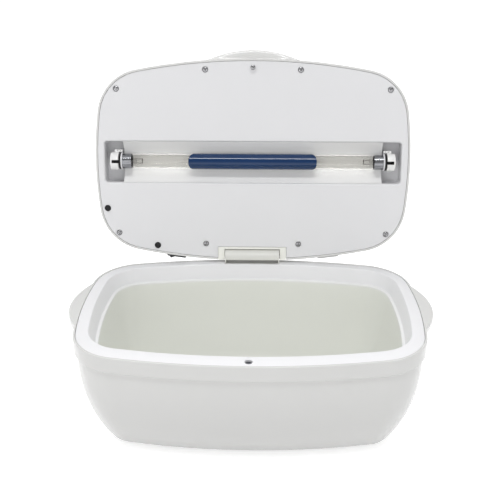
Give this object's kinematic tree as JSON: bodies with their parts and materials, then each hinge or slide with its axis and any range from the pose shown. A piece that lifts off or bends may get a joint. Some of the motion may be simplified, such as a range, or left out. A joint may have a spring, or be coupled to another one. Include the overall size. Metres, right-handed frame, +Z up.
{
  "type": "ultraviolet sanitizer box",
  "caption": "Table-top box with a rounded tub and a lid hinged at the back; a tube lamp lies in a trough in the lid, lit for the tub when shut. Rocker switch and mains inlet at the back.",
  "frame": {"origin": "on the table, in the middle of the four feet the box stands on", "axes": "+X to the right seen from the front, along the lamp; +Y to the back, where the hinge is; +Z up"},
  "size_m": [0.3648, 0.2932, 0.3445],
  "materials": {
    "shell": "glossy white",
    "tub": "glossy, faintly cool white",
    "panel": "satin white",
    "hinge": "off-white",
    "magnet": "dark plated",
    "rubber": "matt black",
    "screw": "bright plated",
    "steel": "plain",
    "reflector": "white enamelled sheet",
    "holder": "glossy white",
    "rotor": "pale grey",
    "contact": "plain",
    "glass": "clear",
    "cap": "bright turned",
    "filament": "dull",
    "film": "deep blue band",
    "black": "black moulded",
    "board": "laminate",
    "core": "ferrite and tape",
    "capacitor": "sleeved",
    "wire": "insulated"
  },
  "bodies": {
    "base": {"base_shell": "shell", "inner_tub": "tub", "catch_magnet": "magnet", "rubber_feet": "rubber", "base_screws": "screw", "hinge_knuckle": "hinge", "knuckle_screws": "screw"},
    "lid": {"lid_shell": "shell", "lid_panel": "panel", "panel_screws": "screw", "catch_screw": "screw", "lid_bumpers": "rubber", "lamp_reflector": "reflector", "holder_left": "holder", "holder_right": "holder", "holder_contacts": "contact", "hinge_yoke": "hinge", "yoke_screws": "screw", "hinge_pin": "steel", "ballast_board": "board", "ballast_choke": "core", "ballast_capacitors": "capacitor", "ballast_transistors": "black", "ballast_connectors": "holder", "board_screws": "screw", "lid_sensor": "glass", "switch_housing": "black", "switch_terminals": "contact", "mains_inlet": "black", "inlet_pins": "steel", "mains_wires": "wire", "lamp_wires": "wire"},
    "rocker": {"switch_rocker": "black"},
    "lamp": {"lamp_tube": "glass", "lamp_cap_left": "cap", "lamp_cap_right": "cap", "lamp_pins": "contact", "lamp_stems": "glass", "lamp_filaments": "filament", "lamp_film": "film", "rotor_left": "rotor", "rotor_right": "rotor"}
  },
  "joints": [
    {"name": "lid_hinge", "type": "hinge", "parent": "base", "child": "lid", "pos_m": [0, 0.1066, 0.1264], "axis": [1, 0, 0], "range_deg": [0, 104]},
    {"name": "switch_rock", "type": "hinge", "parent": "lid", "child": "rocker", "pos_m": [-0.08437, 0.11343, 0.12777], "axis": [0, 0.9703, -0.2419], "range_deg": [0, 24]},
    {"name": "lamp_twist", "type": "hinge", "parent": "lid", "child": "lamp", "pos_m": [0, 0.13229, 0.22986], "axis": [1, 0, 0], "range_deg": [0, 90]}
  ]
}
